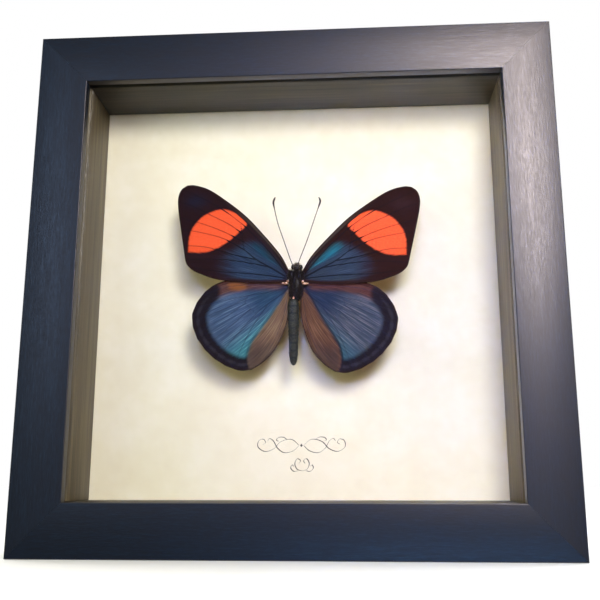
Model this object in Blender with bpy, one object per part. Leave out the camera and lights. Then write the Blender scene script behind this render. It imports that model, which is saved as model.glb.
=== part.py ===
"""A butterfly mounted in a square shadow-box frame, standing upright on its bottom rail.

Metres, +Z up, the front of the frame facing -Y. The origin is under the middle of the
frame's bounding box, on the surface it stands on. Depths are measured back from the
front face of the rails.
"""

import math

import bmesh
import bpy
from mathutils import Matrix, Vector

# Frame moulding
FRAME_SIDE = 0.165
FRAME_DEPTH = 0.033
FACE_WIDTH = 0.0158
LIP_THICKNESS = 0.0031
WALL_WIDTH = 0.0095
ARRIS = 0.0005
JOINT_GAP = 0.0002
CLEARANCE = 0.0003

# What the rabbet of the moulding holds, front to back
GLASS_THICKNESS = 0.0017
SPACER_PROUD = 0.0003
CARD_DEPTH = 0.026
CARD_THICKNESS = 0.0016
BOARD_THICKNESS = 0.003

# Flat steel points that hold the board in
POINT_LENGTH = 0.014
POINT_WIDTH = 0.0055
POINT_THICKNESS = 0.0006
POINT_SPREAD = 0.040

# Sawtooth hanger on the back of the top rail
HANGER_LENGTH = 0.044
HANGER_HEIGHT = 0.0078
HANGER_THICKNESS = 0.0008
HANGER_RISE = 0.0012
HANGER_FOOT = 0.009
HANGER_TEETH = 7
TOOTH_DEPTH = 0.0016
NAIL_SPACING = 0.036
NAIL_HEAD_RADIUS = 0.0016
NAIL_HEAD_THICKNESS = 0.0006
NAIL_SHANK_RADIUS = 0.0006
NAIL_LENGTH = 0.009

# Butterfly, about the middle of its thorax
SPECIMEN_X = 0.0006
SPECIMEN_Z = 0.084
SPECIMEN_TURN = math.radians(1.7)
THORAX_DEPTH = 0.0142
THORAX_SIZE = (0.0052, 0.0048, 0.0096)
THORAX_Z = -0.0012
HEAD_SIZE = (0.0038, 0.0030, 0.0026)
HEAD_Z = 0.0052
ABDOMEN_TOP = -0.0064
ABDOMEN_LENGTH = 0.0206
ABDOMEN_RADIUS = 0.0016
WING_THICKNESS = 0.0004
FOREWING_DEPTH = 0.0134
HINDWING_DEPTH = 0.0141
ANTENNA_RADIUS = 0.0002
CLUB_RADIUS = 0.0004
POST_RADIUS = 0.0015

# Wing outlines in millimetres: out from the body, and up from the wing joint
FOREWING_OUTLINE = (
    (3.2, 1.8), (5.4, -0.5), (12.0, -0.8), (22.0, -0.3), (31.2, 2.1), (35.0, 4.8),
    (37.0, 12.0), (39.4, 25.5), (38.3, 30.4), (34.0, 32.0), (24.3, 27.4), (10.7, 15.3),
    (4.8, 7.6),
)
HINDWING_OUTLINE = (
    (3.3, -2.6), (2.9, -9.0), (3.4, -16.5), (6.0, -22.0), (11.0, -27.4), (16.5, -28.8),
    (23.5, -26.3), (29.3, -21.0), (32.3, -14.5), (32.0, -9.0), (28.6, -3.4), (22.0, 0.4),
    (12.0, 0.8), (5.2, -0.2),
)
ANTENNA_ROUTE = ((1.2, 7.0), (3.6, 13.4), (5.8, 20.0), (7.4, 25.4), (7.3, 27.9))

# Places that follow from the sizes above
TOTAL_DEPTH = FRAME_DEPTH + HANGER_RISE + HANGER_THICKNESS
MIDDLE = FRAME_SIDE / 2
RABBET_HALF = MIDDLE - WALL_WIDTH
OPENING_HALF = MIDDLE - FACE_WIDTH
GLASS_DEPTH = LIP_THICKNESS + CLEARANCE
SPACER_DEPTH = GLASS_DEPTH + GLASS_THICKNESS + CLEARANCE
BOARD_DEPTH = CARD_DEPTH + CARD_THICKNESS + CLEARANCE
POINT_DEPTH = BOARD_DEPTH + BOARD_THICKNESS + CLEARANCE


def at_depth(depth):
    """Y of a plane this far behind the front face of the rails."""
    return depth - TOTAL_DEPTH / 2


def new_material(name, colour, roughness, metallic=0.0, alpha=1.0):
    material = bpy.data.materials.new(name)
    material.use_nodes = True
    shader = material.node_tree.nodes["Principled BSDF"]
    shader.inputs["Base Color"].default_value = (*colour, 1.0)
    shader.inputs["Roughness"].default_value = roughness
    shader.inputs["Metallic"].default_value = metallic
    shader.inputs["Alpha"].default_value = alpha
    return material


def new_object(name, mesh, material=None):
    """Put a bmesh or a ready mesh in the scene as one named object."""
    if isinstance(mesh, bmesh.types.BMesh):
        shape = mesh
        bmesh.ops.recalc_face_normals(shape, faces=shape.faces)
        mesh = bpy.data.meshes.new(name)
        shape.to_mesh(mesh)
        shape.free()
    thing = bpy.data.objects.new(name, mesh)
    bpy.context.collection.objects.link(thing)
    if material and not mesh.materials:
        mesh.materials.append(material)
    return thing


def box(name, low, high, material=None):
    shape = bmesh.new()
    bmesh.ops.create_cube(shape, size=1.0)
    size = Vector(high) - Vector(low)
    centre = (Vector(high) + Vector(low)) / 2
    bmesh.ops.scale(shape, vec=size, verts=shape.verts)
    bmesh.ops.translate(shape, vec=centre, verts=shape.verts)
    return new_object(name, shape, material)


def cylinder_along_y(name, x, z, radius, front, back, material=None, segments=24):
    """A round bar from one depth to another."""
    shape = bmesh.new()
    bmesh.ops.create_cone(
        shape, cap_ends=True, segments=segments, radius1=radius, radius2=radius, depth=back - front
    )
    turn = Matrix.Rotation(math.pi / 2, 4, "X")
    place = Matrix.Translation((x, at_depth((front + back) / 2), z))
    bmesh.ops.transform(shape, matrix=place @ turn, verts=shape.verts)
    return new_object(name, shape, material)


def extruded(name, outline, push, material=None):
    """A flat outline of points pushed along a vector into a closed solid."""
    shape = bmesh.new()
    face = shape.faces.new([shape.verts.new(point) for point in outline])
    grown = bmesh.ops.extrude_face_region(shape, geom=[face], use_keep_orig=True)
    moved = [item for item in grown["geom"] if isinstance(item, bmesh.types.BMVert)]
    bmesh.ops.translate(shape, vec=push, verts=moved)
    return new_object(name, shape, material)


def cut(thing, cutter):
    """Take the cutter's shape out of the thing, and hide the cutter."""
    cutter.hide_render = True
    cutter.display_type = "WIRE"
    modifier = thing.modifiers.new("cut_" + cutter.name, "BOOLEAN")
    modifier.operation = "DIFFERENCE"
    modifier.solver = "EXACT"
    modifier.object = cutter


def smooth_loop(points, steps):
    """Points along a smooth closed curve that passes through the given ones."""
    count = len(points)
    loop = []
    for index in range(count):
        before, start, end, after = (Vector(points[(index + k) % count]) for k in (-1, 0, 1, 2))
        for step in range(steps):
            t = step / steps
            bend = (2 * before - 5 * start + 4 * end - after) * t * t
            twist = (3 * start - before - 3 * end + after) * t ** 3
            loop.append((2 * start + (end - before) * t + bend + twist) / 2)
    return loop


def moulding_mesh():
    """The bottom rail: a rabbeted section whose ends are mitred, centred on the frame's middle."""
    section = (
        (ARRIS, 0), (FACE_WIDTH - ARRIS, 0), (FACE_WIDTH, ARRIS), (FACE_WIDTH, LIP_THICKNESS),
        (WALL_WIDTH, LIP_THICKNESS), (WALL_WIDTH, FRAME_DEPTH), (ARRIS, FRAME_DEPTH),
        (0, FRAME_DEPTH - ARRIS), (0, ARRIS),
    )
    shape = bmesh.new()
    ends = []
    for side in (-1, 1):
        ring = []
        for inward, depth in section:
            reach = MIDDLE - inward - JOINT_GAP / 2
            ring.append(shape.verts.new((side * reach, at_depth(depth), inward - MIDDLE)))
        ends.append(ring)
        shape.faces.new(ring)
    for index in range(len(section)):
        after = (index + 1) % len(section)
        shape.faces.new((ends[0][index], ends[0][after], ends[1][after], ends[1][index]))
    bmesh.ops.recalc_face_normals(shape, faces=shape.faces)
    mesh = bpy.data.meshes.new("moulding")
    shape.to_mesh(mesh)
    shape.free()
    return mesh


def make_rails():
    stain = new_material("black_stained_wood", (0.018, 0.021, 0.030), 0.35)
    mesh = moulding_mesh()
    mesh.materials.append(stain)
    rails = {}
    for quarter, side in enumerate(("bottom", "left", "top", "right")):
        rail = new_object("rail_" + side, mesh)
        rail.location = (0, 0, MIDDLE)
        rail.rotation_euler = (0, quarter * math.pi / 2, 0)
        rails[side] = rail
    return rails


def make_glass():
    clear = new_material("window_glass", (0.9, 0.95, 0.94), 0.02, alpha=0.25)
    half = RABBET_HALF - CLEARANCE
    low = (-half, at_depth(GLASS_DEPTH), MIDDLE - half)
    high = (half, at_depth(GLASS_DEPTH + GLASS_THICKNESS), MIDDLE + half)
    box("glass_pane", low, high, clear)


def make_spacers():
    """Four strips that line the box and stand the glass off the card; the long pair runs through."""
    stain = new_material("brown_stained_spacer_wood", (0.10, 0.085, 0.06), 0.55)
    outer = RABBET_HALF - CLEARANCE
    inner = OPENING_HALF - SPACER_PROUD
    front = at_depth(SPACER_DEPTH)
    back = at_depth(CARD_DEPTH - CLEARANCE)
    for name, side in (("top", 1), ("bottom", -1)):
        heights = sorted((side * inner, side * outer))
        low = (-outer, front, MIDDLE + heights[0])
        high = (outer, back, MIDDLE + heights[1])
        box("spacer_" + name, low, high, stain)
    reach = inner - CLEARANCE
    for name, side in (("right", 1), ("left", -1)):
        places = sorted((side * inner, side * outer))
        box("spacer_" + name, (places[0], front, MIDDLE - reach), (places[1], back, MIDDLE + reach), stain)


def make_backing():
    """The display card and the board behind it, both cut to the rabbet."""
    half = RABBET_HALF - CLEARANCE
    sheets = (
        ("display_card", CARD_DEPTH, CARD_THICKNESS, new_material("cream_card", (0.83, 0.76, 0.62), 0.8)),
        ("backing_board", BOARD_DEPTH, BOARD_THICKNESS, new_material("hardboard", (0.28, 0.17, 0.09), 0.7)),
    )
    for name, depth, thickness, material in sheets:
        low = (-half, at_depth(depth), MIDDLE - half)
        high = (half, at_depth(depth + thickness), MIDDLE + half)
        box(name, low, high, material)


def make_points():
    """Two flat steel points on each side, pressed against the rabbet's wall."""
    steel = new_material("zinc_plated_steel", (0.55, 0.55, 0.54), 0.35, 1.0)
    outline = (
        (-POINT_WIDTH / 2, 0), (POINT_WIDTH / 2, 0), (POINT_WIDTH / 2, POINT_LENGTH * 0.7),
        (0, POINT_LENGTH), (-POINT_WIDTH / 2, POINT_LENGTH * 0.7),
    )
    edge = RABBET_HALF - CLEARANCE
    corners = [Vector((x, at_depth(POINT_DEPTH), edge - rise)) for x, rise in outline]
    first = extruded("point_shape", corners, (0, POINT_THICKNESS, 0), steel)
    mesh = first.data
    bpy.data.objects.remove(first)
    for quarter, side in enumerate(("top", "right", "bottom", "left")):
        turn = Matrix.Translation((0, 0, MIDDLE)) @ Matrix.Rotation(quarter * math.pi / 2, 4, "Y")
        for number, along in ((1, -POINT_SPREAD), (2, POINT_SPREAD)):
            tab = new_object(f"glazing_point_{side}_{number}", mesh)
            tab.matrix_world = turn @ Matrix.Translation((along, 0, 0))


def make_hanger(top_rail):
    """A bent strip with teeth along its lower edge, nailed to the back of the top rail."""
    brassed = new_material("brassed_steel", (0.62, 0.47, 0.20), 0.3, 1.0)
    half = HANGER_LENGTH / 2
    middle_z = FRAME_SIDE - WALL_WIDTH / 2
    low_z = middle_z - HANGER_HEIGHT / 2
    foot = FRAME_DEPTH + CLEARANCE
    raised = foot + HANGER_RISE - CLEARANCE
    bend = half - HANGER_FOOT
    slope = HANGER_RISE
    strip = (
        (-half, foot), (-bend, foot), (slope - bend, raised), (bend - slope, raised),
        (bend, foot), (half, foot),
    )
    edge = [Vector((x, at_depth(depth), low_z)) for x, depth in strip]
    edge += [Vector((x, at_depth(depth + HANGER_THICKNESS), low_z)) for x, depth in reversed(strip)]
    plate = extruded("sawtooth_hanger", edge, (0, 0, HANGER_HEIGHT), brassed)

    pitch = 2 * (bend - 3 * slope) / HANGER_TEETH
    left = -pitch * HANGER_TEETH / 2
    teeth = [Vector((left, at_depth(FRAME_DEPTH), low_z - TOOTH_DEPTH))]
    for tooth in range(HANGER_TEETH):
        start = left + tooth * pitch
        teeth.append(Vector((start, at_depth(FRAME_DEPTH), low_z)))
        teeth.append(Vector((start + pitch / 2, at_depth(FRAME_DEPTH), low_z + TOOTH_DEPTH)))
    teeth.append(Vector((-left, at_depth(FRAME_DEPTH), low_z)))
    teeth.append(Vector((-left, at_depth(FRAME_DEPTH), low_z - TOOTH_DEPTH)))
    cut(plate, extruded("tooth_cutter", teeth, (0, 2 * HANGER_RISE + HANGER_THICKNESS, 0)))

    head_depth = foot + HANGER_THICKNESS + CLEARANCE
    for name, side in (("left", -1), ("right", 1)):
        x = side * NAIL_SPACING / 2
        hole_front = FRAME_DEPTH - NAIL_LENGTH
        hole_radius = NAIL_SHANK_RADIUS + CLEARANCE
        hole = cylinder_along_y(
            "nail_hole_" + name, x, middle_z, hole_radius, hole_front, FRAME_DEPTH + 0.01, segments=16
        )
        cut(plate, hole)
        cut(top_rail, hole)
        nail = bmesh.new()
        shank_front = hole_front + CLEARANCE
        head_back = head_depth + NAIL_HEAD_THICKNESS
        profile = (
            (0, shank_front), (NAIL_SHANK_RADIUS, shank_front + NAIL_SHANK_RADIUS),
            (NAIL_SHANK_RADIUS, head_depth), (NAIL_HEAD_RADIUS, head_depth),
            (NAIL_HEAD_RADIUS * 0.8, head_back), (0, head_back),
        )
        turned(nail, [(radius, at_depth(depth)) for radius, depth in profile], 16)
        bmesh.ops.translate(nail, vec=(x, 0, middle_z), verts=nail.verts)
        new_object("hanger_nail_" + name, nail, brassed)


def turned(shape, profile, segments):
    """Spin a profile of (radius, y) points about the Y axis into a closed body."""
    verts = [shape.verts.new((radius, y, 0)) for radius, y in profile]
    edges = [shape.edges.new(pair) for pair in zip(verts, verts[1:])]
    bmesh.ops.spin(
        shape, geom=verts + edges, cent=(0, 0, 0), axis=(0, 1, 0), dvec=(0, 0, 0),
        angle=2 * math.pi, steps=segments, use_merge=True, use_duplicate=False,
    )
    bmesh.ops.remove_doubles(shape, verts=shape.verts, dist=1e-7)
    bmesh.ops.recalc_face_normals(shape, faces=shape.faces)


def specimen_empty():
    """The butterfly's own place: at its wing joint, turned as it is pinned in the box."""
    empty = bpy.data.objects.new("specimen_place", None)
    bpy.context.collection.objects.link(empty)
    empty.location = (SPECIMEN_X, 0, SPECIMEN_Z)
    empty.rotation_euler = (0, SPECIMEN_TURN, 0)
    return empty


def make_body(place):
    scales = new_material("black_body_scales", (0.02, 0.02, 0.024), 0.7)
    for name, size, height in (("thorax", THORAX_SIZE, THORAX_Z), ("head", HEAD_SIZE, HEAD_Z)):
        shape = bmesh.new()
        bmesh.ops.create_uvsphere(shape, u_segments=20, v_segments=12, radius=0.5)
        bmesh.ops.scale(shape, vec=size, verts=shape.verts)
        bmesh.ops.translate(shape, vec=(0, at_depth(THORAX_DEPTH), height), verts=shape.verts)
        part = new_object(name, shape, scales)
        part.data.shade_smooth()
        part.parent = place

    shape = bmesh.new()
    rings = 12
    profile = [(0, 0)]
    for ring in range(1, rings):
        along = ring / rings
        swell = math.sin(math.pi * along) ** 0.35 * (1 - 0.35 * along)
        profile.append((ABDOMEN_RADIUS * swell, along * ABDOMEN_LENGTH))
    profile.append((0, ABDOMEN_LENGTH))
    turned(shape, profile, 16)
    stand = Matrix.Translation((0, at_depth(THORAX_DEPTH), ABDOMEN_TOP)) @ Matrix.Rotation(-math.pi / 2, 4, "X")
    bmesh.ops.transform(shape, matrix=stand, verts=shape.verts)
    abdomen = new_object("abdomen", shape, scales)
    abdomen.data.shade_smooth()
    abdomen.parent = place


def make_wings(place):
    """One smooth outline for each wing, mirrored to the other side, and pushed to its thickness."""
    red_black = new_material("red_and_black_scales", (0.12, 0.03, 0.03), 0.6)
    blue_black = new_material("blue_and_black_scales", (0.05, 0.09, 0.18), 0.55)
    wings = (
        ("forewing", FOREWING_OUTLINE, FOREWING_DEPTH, red_black),
        ("hindwing", HINDWING_OUTLINE, HINDWING_DEPTH, blue_black),
    )
    for name, points, depth, material in wings:
        outline = smooth_loop([(u / 1000, v / 1000) for u, v in points], 5)
        for side, way in (("left", -1), ("right", 1)):
            flat = [Vector((way * u, at_depth(depth), v)) for u, v in outline]
            wing = extruded(f"{name}_{side}", flat, (0, WING_THICKNESS, 0), material)
            wing.parent = place


def make_antennae(place):
    """A thin rod each side, with the end of the curve swollen into the club."""
    horn = new_material("dark_horn", (0.05, 0.045, 0.04), 0.5)
    for side, way in (("left", -1), ("right", 1)):
        curve = bpy.data.curves.new(f"antenna_{side}", "CURVE")
        curve.dimensions = "3D"
        curve.bevel_depth = ANTENNA_RADIUS
        curve.bevel_resolution = 1
        curve.use_fill_caps = True
        spline = curve.splines.new("POLY")
        spline.points.add(len(ANTENNA_ROUTE) - 1)
        for point, (u, v) in zip(spline.points, ANTENNA_ROUTE):
            point.co = (way * u / 1000, at_depth(THORAX_DEPTH), v / 1000, 1)
        spline.points[-1].radius = CLUB_RADIUS / ANTENNA_RADIUS
        curve.materials.append(horn)
        antenna = bpy.data.objects.new(f"antenna_{side}", curve)
        bpy.context.collection.objects.link(antenna)
        antenna.parent = place


def make_post(place):
    """The short post that stands the butterfly off the card, hidden behind its thorax."""
    foam = new_material("white_foam_post", (0.8, 0.78, 0.72), 0.8)
    front = THORAX_DEPTH + THORAX_SIZE[1] / 2 + CLEARANCE
    post = cylinder_along_y("mounting_post", 0, THORAX_Z, POST_RADIUS, front, CARD_DEPTH - CLEARANCE, foam)
    post.parent = place


def main():
    for thing in list(bpy.data.objects):
        bpy.data.objects.remove(thing)
    rails = make_rails()
    make_glass()
    make_spacers()
    make_backing()
    make_points()
    make_hanger(rails["top"])
    place = specimen_empty()
    make_body(place)
    make_wings(place)
    make_antennae(place)
    make_post(place)


main()
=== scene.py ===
"""Looks of the framed butterfly: the finish of its shadow box, the insect in it, and the light.

Metres, +Z up, the front of the frame facing -Y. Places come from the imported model. The insect is
drawn in millimetres about its wing joint (out, back, up) and put in the box by one matrix.
"""

import math
import random

import bmesh
import bpy
import numpy as np
from mathutils import Matrix, Vector


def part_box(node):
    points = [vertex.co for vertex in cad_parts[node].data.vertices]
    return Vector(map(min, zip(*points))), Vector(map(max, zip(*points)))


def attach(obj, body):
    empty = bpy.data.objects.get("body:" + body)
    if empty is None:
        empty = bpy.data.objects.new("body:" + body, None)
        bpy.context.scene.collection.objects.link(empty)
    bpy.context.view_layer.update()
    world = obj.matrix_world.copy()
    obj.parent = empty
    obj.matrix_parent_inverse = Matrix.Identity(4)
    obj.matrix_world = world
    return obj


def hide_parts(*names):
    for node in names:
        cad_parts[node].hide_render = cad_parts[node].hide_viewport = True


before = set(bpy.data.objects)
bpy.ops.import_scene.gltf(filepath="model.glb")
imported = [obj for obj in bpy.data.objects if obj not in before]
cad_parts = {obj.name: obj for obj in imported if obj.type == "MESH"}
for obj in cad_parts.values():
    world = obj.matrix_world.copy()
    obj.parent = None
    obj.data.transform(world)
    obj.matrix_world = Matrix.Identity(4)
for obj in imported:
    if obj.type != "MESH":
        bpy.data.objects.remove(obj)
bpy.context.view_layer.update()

MM = 0.001
ROOT = "root"

# Joinery
FRAME_LOW, FRAME_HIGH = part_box("rail_left")[0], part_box("rail_right")[1]
MIDDLE = (FRAME_LOW + FRAME_HIGH) / 2
HALF_SIDE = (FRAME_HIGH.z - FRAME_LOW.z) / 2
FRONT_Y = FRAME_LOW.y
BACK_Y = FRAME_HIGH.y
FACE_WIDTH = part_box("rail_bottom")[1].z
FIT_GAP = 0.3 * MM
GLASS_LOW, GLASS_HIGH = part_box("glass_pane")
RABBET_HALF = GLASS_HIGH.x + FIT_GAP
LIP_BACK_Y = GLASS_LOW.y - FIT_GAP
CARD_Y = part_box("display_card")[0].y
ARRIS_RADIUS = 0.3 * MM
MITRE_GAP = 0.04 * MM
SPACER_EASE = 0.25 * MM
INK_THICKNESS = 0.03
INK_PROUD = 0.025
# Of the smoothed pieces, edges sharper than this many degrees stay sharp
JOINERY_CREASE = 40
INSECT_CREASE = 60

# The butterfly's place: its wing joint is above the middle of the thorax
SPECIMEN_TURN = math.radians(1.7)
THORAX_DROP = 1.2
THORAX_LOW, THORAX_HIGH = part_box("thorax")
THORAX_MIDDLE = (THORAX_LOW + THORAX_HIGH) / 2
TURN = Matrix.Rotation(SPECIMEN_TURN, 4, "Y")
WING_JOINT = THORAX_MIDDLE + TURN @ Vector((0, 0, THORAX_DROP * MM))
PLACE = Matrix.Translation(WING_JOINT) @ TURN @ Matrix.Scale(MM, 4)
FOREWING_BACK = (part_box("forewing_left")[0].y - WING_JOINT.y) / MM + 0.2
HINDWING_BACK = (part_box("hindwing_left")[0].y - WING_JOINT.y) / MM + 0.2
MEMBRANE = 0.12
# Eggs of the body in the insect's millimetres: middle, half widths and fineness
THORAX = ((0.25, 0, -THORAX_DROP), (2.1, 2.0, 4.75), 4)
HEAD_X = 0.3
HEAD = ((HEAD_X, 0, 4.6), (1.5, 1.4, 1.35), 4)
# Hair grows where an egg's surface faces less than this much towards the card
HAIR_LIMIT = 0.6
HAIR_THICKNESS = 0.045

SEED = 7


# ---- shader nodes


def linear(colour):
    """An sRGB hex colour as the linear RGBA that shaders take."""
    parts = [int(colour[k:k + 2], 16) / 255 for k in (1, 3, 5)]
    return (*[c / 12.92 if c <= 0.04045 else ((c + 0.055) / 1.055) ** 2.4 for c in parts], 1.0)


def feed(tree, node, values):
    """Set a node's sockets, by name or number, to values or to what feeds them."""
    for key, value in values.items():
        if isinstance(key, int):
            socket = node.inputs[key]
        else:
            socket = next(s for s in node.inputs if s.name == key and s.enabled)
        if isinstance(value, bpy.types.Node):
            value = next(s for s in value.outputs if s.enabled)
        if isinstance(value, bpy.types.NodeSocket):
            tree.links.new(value, socket)
        else:
            socket.default_value = value


def add(tree, kind, values=(), stops=(), **settings):
    """One shader node: its sockets' values, a ramp's colours by place, and its own settings."""
    node = tree.nodes.new("ShaderNode" + kind)
    for name, value in settings.items():
        setattr(node, name, value)
    feed(tree, node, dict(values))
    if stops:
        ramp = node.color_ramp.elements
        while len(ramp) < len(stops):
            ramp.new(0.5)
        for element, (place, colour) in zip(ramp, dict(stops).items()):
            element.position = place
            element.color = linear(colour)
    return node


def new_material(name):
    """A new node material, with its tree."""
    material = bpy.data.materials.new(name)
    material.use_nodes = True
    return material, material.node_tree


def finished(material, colour, roughness, relief=(), shine=0.5, others=()):
    """The material with its shader set. The relief is a height, its depth in millimetres and its
    strength."""
    tree = material.node_tree
    shader = tree.nodes["Principled BSDF"]
    feed(tree, shader, {
        "Base Color": colour, "Roughness": roughness, "Specular IOR Level": shine, **dict(others),
    })
    if relief:
        height, depth, strength = relief
        bump = {"Height": height, "Distance": depth * MM, "Strength": strength}
        feed(tree, shader, {"Normal": add(tree, "Bump", bump)})
    return material


def grains(tree, size, detail=4.0, roughness=0.55):
    """Soft noise with blotches of this size in millimetres, or of a size for each axis."""
    sizes = (size,) * 3 if isinstance(size, (int, float)) else size
    where = add(tree, "TexCoord").outputs["Object"]
    scaled = add(tree, "Mapping", {"Vector": where, "Scale": [1 / (s * MM) for s in sizes]})
    return add(tree, "TexNoise", {
        "Vector": scaled, "Scale": 1.0, "Detail": detail, "Roughness": roughness,
    })


def mottled(name, size, detail, tones, roughness, **others):
    """A material whose colour wanders between tones, in blotches of this size."""
    material, tree = new_material(name)
    colour = add(tree, "ValToRGB", {"Fac": grains(tree, size, detail)}, tones)
    return finished(material, colour, roughness, **others)


def cells(tree, size, randomness=1.0):
    """Cells of this size in millimetres, as the distance from their middles."""
    where = add(tree, "TexCoord").outputs["Object"]
    return add(tree, "TexVoronoi", {
        "Vector": where, "Scale": 1 / (size * MM), "Randomness": randomness,
    }).outputs["Distance"]


# ---- materials


def long_grain(tree, along, fine, length):
    """Noise drawn out along X or Z."""
    size = [fine] * 3
    size["XYZ".index(along)] = length
    return grains(tree, size, 3)


def black_stained_wood(name, along):
    """Close-grained hardwood stained blue-black under satin lacquer: nearly flat in shade, and
    full of fine streaks and short open pores where it catches the light."""
    material, tree = new_material(name)
    bands = long_grain(tree, along, 4.5, 110)
    streaks = long_grain(tree, along, 0.55, 9)
    pores = long_grain(tree, along, 0.26, 2.0)
    both = add(tree, "Mix", {"Factor": 0.7, "A": bands, "B": streaks})
    grain = add(tree, "Mix", {"Factor": 0.5, "A": both, "B": pores})
    blues = {0.38: "#0B1019", 0.52: "#101723", 0.66: "#172231"}
    stain = add(tree, "ValToRGB", {"Fac": grain}, blues)
    gloss = add(tree, "MapRange", {
        "Value": grain, "From Min": 0.4, "From Max": 0.6, "To Min": 0.43, "To Max": 0.33,
    })
    relief = add(tree, "Mix", {"Factor": 0.65, "A": streaks, "B": pores})
    return finished(material, stain, gloss, (relief, 0.045, 1.0), others={
        "IOR": 1.55, "Specular Tint": linear("#FFF1EE"),
    })


def spacer_stain(name, along, browns):
    """Softwood strip with a thin olive-brown stain: long soft grain, open and dull."""
    material, tree = new_material(name)
    fine = long_grain(tree, along, 0.6, 26)
    broad = long_grain(tree, along, 3.0, 70)
    grain = add(tree, "Mix", {"Factor": 0.5, "A": fine, "B": broad})
    stain = add(tree, "ValToRGB", {"Fac": grain}, list(zip((0.36, 0.52, 0.66), browns)))
    return finished(material, stain, 0.5, (grain, 0.05, 1.0))


def float_glass():
    """Clear float glass: it shows only as a sharp reflection."""
    material, _ = new_material("float_glass")
    return finished(material, linear("#FEFFFF"), 0.0, others={
        "IOR": 1.5, "Transmission Weight": 1.0,
    })


def parchment_paper():
    """Cream parchment paper: cloudy in tone, with a fine tooth and a few darker fibres."""
    material, tree = new_material("parchment_paper")
    clouds = grains(tree, 14, 5, 0.6)
    patches = grains(tree, 4, 4, 0.6)
    tooth = grains(tree, 0.35, 2)
    tone = add(tree, "Mix", {"Factor": 0.35, "A": clouds, "B": patches})
    cream = add(tree, "ValToRGB", {"Fac": tone}, {0.3: "#E4D4B2", 0.5: "#E9DBBC", 0.7: "#EEE1C8"})
    fibres = grains(tree, (1.8, 1.8, 0.35), 2, 0.4)
    flecks = add(tree, "MapRange", {
        "Value": fibres, "From Min": 0.68, "From Max": 0.76, "To Max": 0.35,
    })
    paper = coats(tree, cream, [("#CDB98C", flecks)])
    return finished(material, paper, 0.85, (tooth, 0.02, 0.25))


def printing_ink():
    """Sepia ink printed on the card: matt, and a little uneven in weight."""
    return mottled("sepia_printing_ink", 0.6, 3.0, {0.35: "#2E2620", 0.7: "#5A4D42"}, 0.7)


def pressed_hardboard():
    """Brown hardboard, rough side out: pressed fibre with the print of a wire screen."""
    material, tree = new_material("pressed_hardboard")
    fibre = grains(tree, (1.6, 1.6, 0.5), 5, 0.7)
    clouds = grains(tree, 18, 3)
    mixed = add(tree, "Mix", {"Factor": 0.4, "A": fibre, "B": clouds})
    brown = add(tree, "ValToRGB", {"Fac": mixed}, {0.32: "#5A3F28", 0.5: "#7C5A3B", 0.68: "#9A7650"})
    relief = add(tree, "Mix", {"Factor": 0.4, "A": cells(tree, 1.6, 0.12), "B": fibre})
    return finished(material, brown, 0.75, (relief, 0.18, 0.9))


def zinc_plated_steel():
    """Thin sheet steel, zinc plated: grey and satiny, with faint spangle and handling marks."""
    material, tree = new_material("zinc_plated_steel")
    smears = grains(tree, 2.5, 4)
    colour = add(tree, "ValToRGB", {"Fac": cells(tree, 1.4)}, {0.0: "#8B8F92", 0.8: "#A6A9AB"})
    gloss = add(tree, "MapRange", {
        "Value": smears, "From Min": 0.3, "From Max": 0.7, "To Min": 0.26, "To Max": 0.48,
    })
    return finished(material, colour, gloss, others={"Metallic": 1.0})


def brassed_steel():
    """Stamped steel with a bright brass wash: yellow and shiny, worn paler in patches."""
    material, tree = new_material("brassed_steel")
    wear = grains(tree, 1.6, 5, 0.6)
    tones = {0.35: "#B48E3F", 0.55: "#CBA659", 0.72: "#D9C190"}
    colour = add(tree, "ValToRGB", {"Fac": wear}, tones)
    gloss = add(tree, "MapRange", {
        "Value": wear, "From Min": 0.3, "From Max": 0.7, "To Min": 0.22, "To Max": 0.42,
    })
    return finished(material, colour, gloss, (wear, 0.02, 0.5), others={"Metallic": 1.0})


def white_foam():
    """White closed-cell foam: matt, with fine cut cells."""
    material, tree = new_material("white_foam")
    bubbles = cells(tree, 0.35)
    tone = add(tree, "ValToRGB", {"Fac": bubbles}, {0.0: "#D9D5CB", 0.6: "#F3F0E9"})
    return finished(material, tone, 0.9, (bubbles, 0.1, 0.8))


def wing_streaks(tree, across, along):
    """Streaks from base to margin, as rows of scales lie: the UV map goes that way."""
    where = add(tree, "UVMap")
    scaled = add(tree, "Mapping", {"Vector": where, "Scale": (along, across, 1.0)})
    return add(tree, "TexNoise", {"Vector": scaled, "Scale": 1.0, "Detail": 4.0, "Roughness": 0.6})


def mask(tree, name, ragged=None, amount=0.0, low=0.0, high=1.0, share=1.0):
    """A wing's own measure turned to a soft mask, its edge made ragged by a noise."""
    measure = add(tree, "Attribute", attribute_name=name).outputs["Fac"]
    if ragged:
        shift = add(tree, "Math", {0: ragged, 1: 0.5}, operation="SUBTRACT")
        measure = add(tree, "Math", {0: shift, 1: amount, 2: measure}, operation="MULTIPLY_ADD")
    return add(
        tree, "MapRange", {"Value": measure, "From Min": low, "From Max": high, "To Max": share},
        interpolation_type="SMOOTHSTEP",
    )


def coats(tree, ground, layers):
    """Colours laid over a ground in turn, each with how much of it shows."""
    for colour, shown in layers:
        over = linear(colour) if isinstance(colour, str) else colour
        ground = add(tree, "Mix", {"Factor": shown, "A": ground, "B": over}, data_type="RGBA")
    return ground


def rayed(tree, rays, colours):
    """Three tones of one scale colour, streaked along the wing's rays."""
    return add(tree, "ValToRGB", {"Fac": rays}, list(zip((0.32, 0.50, 0.68), colours)))


def finish_scales(material, colour, fine):
    """Scales are matt: a fine nap, and next to no shine of their own."""
    tree = material.node_tree
    dust = grains(tree, 0.3, 3)
    nap = add(tree, "Mix", {"Factor": 0.5, "A": fine, "B": dust})
    return finished(material, colour, 0.6, (nap, 0.03, 0.8), 0.015)


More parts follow.
